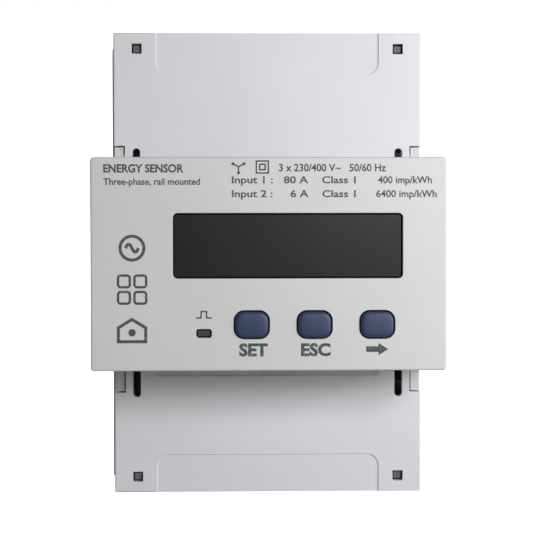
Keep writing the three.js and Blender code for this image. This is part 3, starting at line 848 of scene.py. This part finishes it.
def ribbon(points: Sequence[Point], width: float, closed: bool = False) -> list[list[Point]]:
    """Flat four-sided faces along a drawn line.

    Args:
        points: The line's points.
        width: The line's width.
        closed: Whether its ends meet.

    Returns:
        The faces, each as its corners.
    """
    count = len(points)
    places = [Vector(point) for point in points]
    sides: list[tuple[Point, Point]] = []
    for i, place in enumerate(places):
        arriving = place - places[i - 1] if closed or i else places[i + 1] - place
        leaving = places[(i + 1) % count] - place if closed or i < count - 1 else arriving
        along = (arriving.normalized() + leaving.normalized()).normalized()
        lean = max(0.5, along.dot(leaving.normalized()))
        across = Vector((-along.y, along.x)) * width / 2 / lean
        sides.append((tuple(place + across), tuple(place - across)))
    spans = range(count if closed else count - 1)
    return [[sides[i][0], sides[i][1], sides[(i + 1) % count][1], sides[(i + 1) % count][0]] for i in spans]


def ring(x: float, z: float, radius: float, steps: int) -> list[Point]:
    """Points round a circle.

    Args:
        x: The centre's X.
        z: The centre's Z.
        radius: The circle's radius.
        steps: How many points.

    Returns:
        The points, anticlockwise.
    """
    turns = [2 * math.pi * i / steps for i in range(steps)]
    return [(x + radius * math.cos(turn), z + radius * math.sin(turn)) for turn in turns]


@dataclass(frozen=True)
class Legend:
    """One line of lettering. Lengths are millimetres on the face that it is printed on."""

    text: str
    left: float
    foot: float
    width: float
    height: float
    thicken: float = 0.0


class InkLayer:
    """Thin ink on a flat face, gathered into one mesh."""

    sunk: float = 0.005 * MM
    proud: float = 0.015 * MM

    def __init__(self, face: float, direction: int = -1) -> None:
        """Starts an empty layer.

        Args:
            face: The Y of the face that it is printed on.
            direction: The sign of Y in which the face looks.
        """
        self.bm = bmesh.new()
        self.low = face - direction * self.sunk
        self.high = face + direction * self.proud
        self.direction = direction

    def area(self, outline: Sequence[Point]) -> None:
        """Fills one outline, given in millimetres."""
        loops = []
        for y in (self.low, self.high):
            loops.append([self.bm.verts.new((x * MM, y, z * MM)) for x, z in outline])
        for i, start in enumerate(loops[0]):
            j = (i + 1) % len(outline)
            self.bm.faces.new((start, loops[0][j], loops[1][j], loops[1][i]))
        self.bm.faces.new(loops[0])
        self.bm.faces.new(loops[1])

    def line(self, points: Sequence[Point], width: float, closed: bool = False) -> None:
        """Draws one line.

        Args:
            points: Its points, in millimetres.
            width: Its width.
            closed: Whether its ends meet.
        """
        faces = ribbon(points, width, closed)
        rows = {}
        for y in (self.low, self.high):
            for face in faces:
                for x, z in face:
                    key = (round(x, 6), round(z, 6), y)
                    if key not in rows:
                        rows[key] = self.bm.verts.new((x * MM, y, z * MM))
        corners = [[(round(x, 6), round(z, 6)) for x, z in face] for face in faces]
        walls = []
        for face in corners:
            for y in (self.low, self.high):
                self.bm.faces.new([rows[(*corner, y)] for corner in face])
            walls += [(face[0], face[3]), (face[1], face[2])]
        if not closed:
            walls += [(corners[0][0], corners[0][1]), (corners[-1][3], corners[-1][2])]
        for a, b in walls:
            quad = [(*a, self.low), (*b, self.low), (*b, self.high), (*a, self.high)]
            self.bm.faces.new([rows[key] for key in quad])

    def words(self, legend: Legend) -> None:
        """Sets one line of lettering, stretched to its width."""
        flat = text_mesh(legend.text, legend.thicken)
        span = max(v.co.x for v in flat.vertices) - min(v.co.x for v in flat.vertices)
        start = min(v.co.x for v in flat.vertices)
        part = bmesh.new()
        part.from_mesh(flat)
        bpy.data.meshes.remove(flat)
        bmesh.ops.remove_doubles(part, verts=part.verts, dist=1e-5)
        for vert in part.verts:
            x = (vert.co.x - start) / span * legend.width
            x = legend.left + x if self.direction < 0 else legend.left - x
            vert.co = Vector((x * MM, self.low, (legend.foot + vert.co.y * legend.height) * MM))
        grown = bmesh.ops.extrude_face_region(part, geom=part.faces[:], use_keep_orig=True)
        for item in grown["geom"]:
            if isinstance(item, bmesh.types.BMVert):
                item.co.y = self.high
        spare = bpy.data.meshes.new("lettering")
        part.to_mesh(spare)
        part.free()
        self.bm.from_mesh(spare)
        bpy.data.meshes.remove(spare)

    def mesh(self, name: str) -> bpy.types.Mesh:
        """Closes the layer and gives its mesh."""
        return mesh_from(name, self.bm)


# ---- sub-assemblies


@dataclass
class Housing(SubAssembly):
    """The rear case, the front case with its nose, the case screws and the rating plate on the back."""

    nose_edge: float = 0.4 * MM
    hole_edge: float = 0.14 * MM
    case_edge: float = 0.25 * MM
    seam_edge: float = 0.6 * MM
    side_front: float = -15.0 * MM
    seam_back: float = -19.5 * MM
    rim_band: float = 1.0 * MM
    plate_size: tuple[float, float] = (24.4 * MM, 17.4 * MM)
    plate_centre: float = 18.0 * MM

    def build(self) -> None:
        """Builds the mouldings from their CAD shapes, with rounded edges."""
        low, high = (Vector(corner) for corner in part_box("front_case"))
        front = on_plane(1, low.y)
        nose_half = self.nose_height / 2

        def on_rim(a: Vector, b: Vector) -> bool:
            """Whether an edge goes round the outside of the nose."""
            near = min(high.x - abs(a.x), high.x - abs(b.x)) < self.rim_band
            level = min(abs(a.z), abs(b.z)) > nose_half - self.rim_band
            return front(a, b) and (near or level)

        rules = [
            EdgeRule(self.nose_edge, on_rim, 4),
            EdgeRule(self.hole_edge, lambda a, b: front(a, b) and not on_rim(a, b), 2),
        ]
        self.mould("front_case", CASE_PLASTIC, "case_plastic", rules)
        half, back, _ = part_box("rear_case")[1]

        def on_side(a: Vector, b: Vector) -> bool:
            """Whether an edge lies on the case's left or right side."""
            return min(abs(a.x), abs(b.x)) > half - TOUCH

        rules = [
            EdgeRule(self.case_edge, on_plane(1, max(back, 0.0)), 2),
            EdgeRule(self.case_edge, lambda a, b: on_side(a, b) and (a.y + b.y) / 2 > self.side_front, 2),
            EdgeRule(self.seam_edge, lambda a, b: on_side(a, b) and (a.y + b.y) / 2 < self.seam_back, 3),
        ]
        self.mould("rear_case", CASE_PLASTIC, "case_plastic", rules)
        for number in range(1, 5):
            self.carry(f"case_screw_{number}", PLATED_STEEL)
        self.build_plate()

    @property
    def nose_height(self) -> float:
        """The nose's height: what reaches furthest forward."""
        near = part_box("front_case")[0][1] + self.rim_band
        heights = [v.co.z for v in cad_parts["front_case"].data.vertices if v.co.y < near]
        return max(heights) - min(heights)

    def build_plate(self) -> None:
        """The thin plate in the recess of the rail seat, with generic ratings."""
        width, height = self.plate_size
        outline = rounded_outline(width, height, 1.0 * MM)
        inner = rounded_outline(width - 0.1 * MM, height - 0.1 * MM, 0.95 * MM)
        rings = [(outline, -0.28 * MM), (outline, -0.1 * MM), (inner, -0.05 * MM)]
        plate = add_piece("rating_plate", loft("rating_plate", rings, self.plate_centre, 0.0))
        self.add(plate, LABEL_FOIL)
        ink = InkLayer(-0.05 * MM, 1)
        right = (self.plate_centre + width / 2) / MM - 2.0
        ink.words(Legend("ENERGY SENSOR", right, 4.6, 14.0, 1.7, 0.015))
        ink.words(Legend("3 x 230/400 V  50/60 Hz", right, 1.6, 19.0, 1.4))
        ink.words(Legend("35 mm rail", right, -1.2, 9.0, 1.4))
        left = right - 20.0
        for foot in (-4.0, -6.6):
            ink.line([(right, foot), (left, foot)], 0.15)
        self.add(add_piece("rating_plate_print", ink.mesh("rating_plate_print")), LABEL_INK)


@dataclass
class TerminalCovers(SubAssembly):
    """The two hinged covers over the mains terminals."""

    edge: float = 0.3 * MM
    cut_edge: float = 0.1 * MM

    def build(self) -> None:
        """Builds each cover from its CAD shape, with rounded outer edges."""
        for zone in Zone:
            name = f"{zone.word}_terminal_cover"
            low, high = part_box(name)
            end = low[2] if zone is Zone.LOWER else high[2]
            front, far = on_plane(1, low[1]), on_plane(2, end)
            rules = [
                EdgeRule(self.edge, outermost(front, high[0], end)),
                EdgeRule(self.cut_edge, front, 2),
                EdgeRule(self.edge, outermost(far, high[0], end)),
            ]
            self.mould(name, COVER_PLASTIC, "cover_plastic", rules, body=name)


def outermost(face: EdgeTest, x: float, z: float) -> EdgeTest:
    """A test for those of a face's edges that lie along a moulding's side or its end.

    Args:
        face: The test for the face's edges.
        x: How far out the side is.
        z: Where the end is.

    Returns:
        The test.
    """
    at_end = on_plane(2, z)
    return lambda a, b: face(a, b) and (min(abs(a.x), abs(b.x)) > x - TOUCH or at_end(a, b))


@dataclass
class MainTerminals(SubAssembly):
    """The terminal blocks with their busbars, clamps, screws and line marks."""

    lines: tuple[str, ...] = ("l1", "l2", "l3", "n")
    mark_height: float = 2.0
    mark_drop: float = 5.0
    edge: float = 0.2 * MM

    def build(self) -> None:
        """Moulds the blocks, prints their marks and keeps the CAD shapes of the rest."""
        for zone in Zone:
            block = f"{zone.word}_terminal_block"
            rules = [EdgeRule(self.edge, on_plane(1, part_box(block)[0][1]), 2)]
            self.mould(block, BLOCK_PLASTIC, "terminal_block_plastic", rules)
            ink = InkLayer(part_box(block)[0][1])
            for line in self.lines:
                low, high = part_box(f"{zone.word}_terminal_screw_{line}")
                right = high[0] / MM
                foot = (low[2] + high[2]) / 2 / MM - zone.value * self.mark_drop - self.mark_height / 2
                width = 1.1 * len(line) + 0.4
                ink.words(Legend(line.upper(), right + 0.3, foot, width, self.mark_height, 0.02))
                self.carry(f"{zone.word}_terminal_screw_{line}", PLATED_STEEL)
                self.carry(f"{zone.word}_terminal_clamp_{line}", PLATED_STEEL)
            marks = add_piece(f"{block}_marks", ink.mesh(f"{block}_marks"))
            self.add(marks, PALE_INK)
        for line in self.lines:
            self.carry(f"busbar_{line}", BARE_COPPER)


@dataclass
class DisplayUnit(SubAssembly):
    """The smoked window, what lies behind it, and the pulse lamp."""

    window_edge: float = 0.18 * MM

    def build(self) -> None:
        """Builds the window and the light pipe with soft front edges."""
        for node, finish, slot in (
            ("display_window", WINDOW_PLASTIC, "window_plastic"),
            ("pulse_light_pipe", LAMP_PLASTIC, "light_pipe_plastic"),
        ):
            self.mould(node, finish, slot, [EdgeRule(self.window_edge, on_plane(1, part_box(node)[0][1]), 3)])
        self.carry("display_panel", DISPLAY_GLASS)
        self.carry("display_frame", REFLECTOR_PLASTIC)
        self.carry("display_board", BOARD_LACQUER)
        self.carry("pulse_lamp", LAMP_RESIN)


@dataclass
class ButtonRow(SubAssembly):
    """The three soft buttons and the switches that they press."""

    names: tuple[str, ...] = ("set_button", "escape_button", "next_button")
    cap: tuple[float, float] = (6.7 * MM, 5.26 * MM)
    corner: float = 1.8 * MM
    rim: tuple[float, float] = (8.1 * MM, 6.66 * MM)
    shoulder: float = 57.7 * MM
    rim_back: float = 56.9 * MM
    stem: float = 1.6 * MM
    edge: float = 0.75 * MM
    crown: float = 0.12 * MM

    def build(self) -> None:
        """Builds each button as one body: the crowned cap, the rim that holds it in and its stem."""
        for number, name in enumerate(self.names, 1):
            low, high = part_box(name)
            x, z = (low[0] + high[0]) / 2, (low[2] + high[2]) / 2
            mesh = loft(f"{name}_cap", self.outlines(low[1], high[1]), x, z)
            cap = add_piece(f"{name}_cap", mesh, body=name, replaces=[name])
            self.add(cap, BUTTON_RUBBER)
            self.carry(f"tact_switch_{number}", BLACK_PLASTIC)

    def outlines(self, front: float, back: float) -> list[tuple[list[Point], float]]:
        """The outlines from the cap's crown to the stem's end.

        Args:
            front: The Y of the crown.
            back: The Y of the stem's end.

        Returns:
            Each outline with its Y.
        """

        def inset(amount: float) -> list[Point]:
            """The cap's outline, taken in."""
            width, height = (side - 2 * amount for side in self.cap)
            return rounded_outline(width, height, max(0.3 * MM, self.corner - amount))

        rings = [(inset(2.2 * MM), front), (inset(1.5 * MM), front + 0.3 * self.crown)]
        for step in range(6):
            angle = math.radians(90 * step / 5)
            y = front + self.crown * 0.7 + (self.edge - self.crown * 0.7) * (1 - math.cos(angle))
            rings.append((inset(self.edge * (1 - math.sin(angle))), y))
        rim = rounded_outline(*self.rim, self.corner)
        stem = rounded_outline(2 * self.stem, 2 * self.stem, self.stem * 0.999)
        rings += [(inset(0.0), -self.shoulder), (rim, -self.shoulder), (rim, -self.rim_back)]
        return rings + [(stem, -self.rim_back), (stem, back)]


@dataclass
class FacePrint(SubAssembly):
    """What is printed on the nose: generic words, symbols and marks."""

    ink_width: float = 0.3
    badge_width: float = 0.62

    def build(self) -> None:
        """Prints the words in one layer and the marks in another."""
        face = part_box("front_case")[0][1]
        words = InkLayer(face)
        for legend in (
            Legend("ENERGY SENSOR", -33.3, 18.5, 16.1, 1.65, 0.045),
            Legend("Three-phase, rail mounted", -33.3, 16.0, 19.4, 1.35, 0.03),
            Legend("3 x 230/400 V~   50/60 Hz", 2.0, 18.7, 21.6, 1.55, 0.03),
            Legend("Input 1 :   80 A    Class 1", -7.5, 16.3, 25.0, 1.45, 0.03),
            Legend("400 imp/kWh", 22.0, 16.3, 10.9, 1.45, 0.03),
            Legend("Input 2 :     6 A    Class 1", -7.5, 13.5, 25.0, 1.45, 0.03),
            Legend("6400 imp/kWh", 21.6, 13.5, 12.3, 1.45, 0.03),
            Legend("SET", -6.1, -18.5, 5.8, 2.5, 0.06),
            Legend("ESC", 6.4, -18.5, 6.0, 2.5, 0.06),
        ):
            words.words(legend)
        self.add(add_piece("face_lettering", words.mesh("face_lettering")), DARK_INK)
        marks = InkLayer(face)
        self.draw_symbols(marks)
        self.draw_arrow(marks)
        self.draw_badges(marks)
        self.add(add_piece("face_symbols", marks.mesh("face_symbols")), DARK_INK)

    def draw_symbols(self, ink: InkLayer) -> None:
        """The star connection, the double insulation squares and the pulse."""
        centre = (-6.15, 19.6)
        for degrees in (30, 150, 270):
            turn = math.radians(degrees)
            end = (centre[0] + 1.1 * math.cos(turn), centre[1] + 1.0 * math.sin(turn))
            ink.line([centre, end], self.ink_width)
            ink.area(ring(end[0] + 0.2 * math.cos(turn), end[1] + 0.2 * math.sin(turn), 0.32, 14))
        for half in (1.2, 0.55):
            corners = [(-1.35 + sx * half, 19.55 + sz * half) for sx, sz in CORNERS]
            ink.line(corners, self.ink_width, closed=True)
        low, high = -10.85, -9.55
        pulse = [(-14.8, low), (-13.75, low), (-13.75, high), (-12.65, high), (-12.65, low), (-11.6, low)]
        ink.line(pulse, self.ink_width)

    def draw_arrow(self, ink: InkLayer) -> None:
        """The arrow under the last button."""
        ink.line([(19.6, -17.25), (22.2, -17.25)], 1.15)
        ink.area([(22.1, -16.0), (24.1, -17.25), (22.1, -18.5)])

    def draw_badges(self, ink: InkLayer) -> None:
        """Three plain marks of this maker's own: a wave in a ring, four cells, and a house with a dot."""
        ink.line(ring(-27.6, 3.25, 2.4, 40), self.badge_width, closed=True)
        wave = [(-28.9 + 0.1625 * i, 3.25 + 0.8 * math.sin(math.pi * i / 8)) for i in range(17)]
        ink.line(wave, self.badge_width)
        cell = rounded_outline(2.35, 2.35, 0.5, 3)
        for sx in (-1, 1):
            for sz in (-1, 1):
                x, z = -27.6 + 1.65 * sx, -5.1 + 1.65 * sz
                ink.line([(x + dx, z + dz) for dx, dz in cell], 0.8 * self.badge_width, closed=True)
        house = [(-30.4, -15.6), (-24.9, -15.6), (-24.9, -12.8), (-27.65, -11.1), (-30.4, -12.8)]
        ink.line(house, self.badge_width, closed=True)
        ink.area(ring(-27.65, -13.8, 0.75, 20))


@dataclass
class SignalRow(SubAssembly):
    """The small screw terminals for the pulse and data lines."""

    count: int = 8
    edge: float = 0.15 * MM

    def build(self) -> None:
        """Moulds the block, keeps the screws, and prints a number below each."""
        node = "signal_terminal_block"
        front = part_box(node)[0][1]
        rules = [EdgeRule(self.edge, on_plane(1, front), 2)]
        self.mould(node, SIGNAL_PLASTIC, "signal_block_plastic", rules, name="signal_block_moulding")
        ink = InkLayer(front)
        for number in range(1, self.count + 1):
            low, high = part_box(f"signal_screw_{number}")
            middle = (low[0] + high[0]) / 2 / MM
            ink.words(Legend(str(number), middle - 0.4, low[2] / MM - 2.2, 0.8, 1.3, 0.02))
            self.carry(f"signal_screw_{number}", PLATED_STEEL)
        self.add(add_piece("signal_numbers", ink.mesh("signal_numbers")), PALE_INK)


@dataclass
class Electronics(SubAssembly):
    """The main board and what stands on it."""

    def build(self) -> None:
        """Keeps the CAD shapes."""
        self.carry("main_board", BOARD_LACQUER)
        self.carry("supply_transformer", COIL_TAPE)
        self.carry("supply_capacitor", SLEEVE_PLASTIC)
        self.carry("board_header", BLACK_PLASTIC)
        for line in ("l1", "l2", "l3"):
            self.carry(f"current_transformer_{line}", RING_LACQUER)


@dataclass
class RailClip(SubAssembly):
    """The sliding clip that holds the meter on its rail, and its spring."""

    turns: float = 7.5
    wire: float = 0.45 * MM
    travel: float = 4.0 * MM

    def build(self) -> None:
        """Keeps the clip and winds its spring."""
        self.carry("rail_clip", CLIP_PLASTIC)
        low, high = (Vector(corner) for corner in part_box("rail_clip_spring"))
        length = high.z - low.z
        centre = Vector(((low.x + high.x) / 2, (low.y + high.y) / 2, low.z))
        radius = min(high.x - low.x, high.y - low.y) / 2 - self.wire / 2
        mesh = helix_tube("clip_spring_coil", centre, radius, self.wire, length, self.turns)
        spring = add_piece("clip_spring_coil", mesh, replaces=["rail_clip_spring"])
        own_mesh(spring)
        self.add(spring, SPRING_STEEL)


# ---- studio


@dataclass(frozen=True)
class Lamp:
    """A soft light panel."""

    name: str
    place: tuple[float, float, float]
    size: tuple[float, float]
    watts: float


@dataclass
class Studio:
    """The pale floor and backdrop, the soft lights and the camera."""

    lens: float = 78.26
    eye: tuple[float, float, float] = (-4.05 * MM, -301.15 * MM, 2.46 * MM)
    yaw: float = -1.24
    pitch: float = -1.109
    roll: float = -0.087
    sweep: float = 0.35
    reach: float = 0.9
    ambient: float = 0.05
    backdrop: float = 0.95
    lamps: tuple[Lamp, ...] = (
        Lamp("upper panel", (0.16, -0.45, 0.13), (0.3, 0.2), 0.76),
        Lamp("near panel", (0.14, -0.25, 0.07), (0.08, 0.08), 0.22),
        Lamp("side panel", (0.3, -0.18, 0.04), (0.1, 0.1), 0.42),
        Lamp("left fill", (-0.5, -0.45, 0.1), (0.5, 0.5), 0.12),
        Lamp("rear panel", (-0.4, 0.55, 0.45), (0.6, 0.6), 4.2),
    )

    def build(self) -> None:
        """Sets up the floor, the lights, the sky and the camera."""
        self.build_backdrop()
        for lamp in self.lamps:
            self.build_lamp(lamp)
        world = bpy.data.worlds.new("studio air")
        world.use_nodes = True
        world.node_tree.nodes.clear()
        graph = Graph(world.node_tree)
        seen = graph.node("LightPath").outputs["Is Camera Ray"]
        strength = graph.span(seen, 0.0, 1.0, self.ambient, self.backdrop)
        sky = graph.node("Background", {"Color": WHITE, "Strength": strength})
        graph.node("OutputWorld", {"Surface": sky.outputs[0]})
        bpy.context.scene.world = world
        bpy.context.scene.view_settings.view_transform = "Standard"
        self.build_camera()

    def build_backdrop(self) -> None:
        """The floor, swept up into a wall behind the meter."""
        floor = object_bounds()[0].z - 0.05 * MM
        profile = [(-1.6, 0.0), (self.reach - self.sweep, 0.0)]
        for step in range(1, 13):
            turn = math.radians(90 * step / 12)
            rise = self.sweep * (1 - math.cos(turn))
            profile.append((self.reach - self.sweep + self.sweep * math.sin(turn), rise))
        profile.append((self.reach, 1.8))
        bm = bmesh.new()
        rows = [[bm.verts.new((x, y, floor + z)) for y, z in profile] for x in (-2.2, 2.2)]
        for i in range(len(profile) - 1):
            bm.faces.new((rows[0][i], rows[1][i], rows[1][i + 1], rows[0][i + 1]))
        smooth_faces(bm)
        mesh = bpy.data.meshes.new("studio_floor")
        bm.to_mesh(mesh)
        bm.free()
        backdrop = bpy.data.objects.new("studio_floor", mesh)
        bpy.context.scene.collection.objects.link(backdrop)
        paint(backdrop, PAPER)
        backdrop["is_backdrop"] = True

    def build_lamp(self, lamp: Lamp) -> None:
        """Hangs one panel, turned to the meter's middle."""
        data = bpy.data.lights.new(lamp.name, "AREA")
        data.shape = "RECTANGLE"
        data.size, data.size_y = lamp.size
        data.energy = lamp.watts
        panel = bpy.data.objects.new(lamp.name, data)
        panel.location = lamp.place
        panel.rotation_mode = "QUATERNION"
        panel.rotation_quaternion = (-Vector(lamp.place)).to_track_quat("-Z", "Y")
        bpy.context.scene.collection.objects.link(panel)

    def build_camera(self) -> None:
        """Sets the camera a little left of the middle, level with the display."""
        data = bpy.data.cameras.new("camera")
        data.lens = self.lens
        data.sensor_width = 36.0
        data.clip_start = 0.01
        camera = bpy.data.objects.new("camera", data)
        turn = Matrix.Rotation(math.radians(self.yaw), 4, "Z")
        tilt = Matrix.Rotation(math.radians(90 + self.pitch), 4, "X")
        roll = Matrix.Rotation(math.radians(self.roll), 4, "Z")
        camera.matrix_world = Matrix.Translation(self.eye) @ turn @ tilt @ roll
        bpy.context.scene.collection.objects.link(camera)
        bpy.context.scene.camera = camera


@dataclass(frozen=True)
class BackdropPaper(Finish):
    """Pale seamless paper with a faint tooth, which throws less light back than it seems to."""

    glow: float = 0.85
    bounce: float = 0.35

    def wire(self, graph: Graph, shader: bpy.types.Node) -> None:
        """Wires the paper's tooth, and a glow and paleness that are seen but don't light the meter.

        Args:
            graph: The material's graph.
            shader: The material's Principled BSDF.
        """
        seen = graph.node("LightPath").outputs["Is Camera Ray"]
        graph.feed(shader, Emission_Strength=graph.math("MULTIPLY", seen, self.glow))
        shader.inputs["Emission Color"].default_value = WHITE
        tooth = graph.noise(graph.place(), 240.0, 3.0)
        blend = graph.mix(graph.span(tooth, 0.3, 0.7, 0.0, 0.03), (*self.color, 1.0), (0.8, 0.8, 0.8, 1.0))
        bounced = (self.bounce, self.bounce, self.bounce, 1.0)
        graph.feed(shader, Base_Color=graph.mix(seen, bounced, blend))


PAPER = BackdropPaper("pale paper", (0.93, 0.93, 0.93), 0.9)


def main() -> None:
    """Builds and dresses the meter, then its studio."""
    logging.basicConfig(level=logging.INFO, format="%(name)s: %(message)s")
    assemblies: list[SubAssembly] = [
        Housing(),
        TerminalCovers(),
        MainTerminals(),
        DisplayUnit(),
        ButtonRow(),
        FacePrint(),
        SignalRow(),
        Electronics(),
        RailClip(),
    ]
    for assembly in assemblies:
        assembly.build()
        assembly.dress()
        for piece, finish in assembly.pieces.items():
            log.info("%s: %s in %s", type(assembly).__name__, piece.name, finish.name)
    Studio().build()


if __name__ == "__main__":
    main()
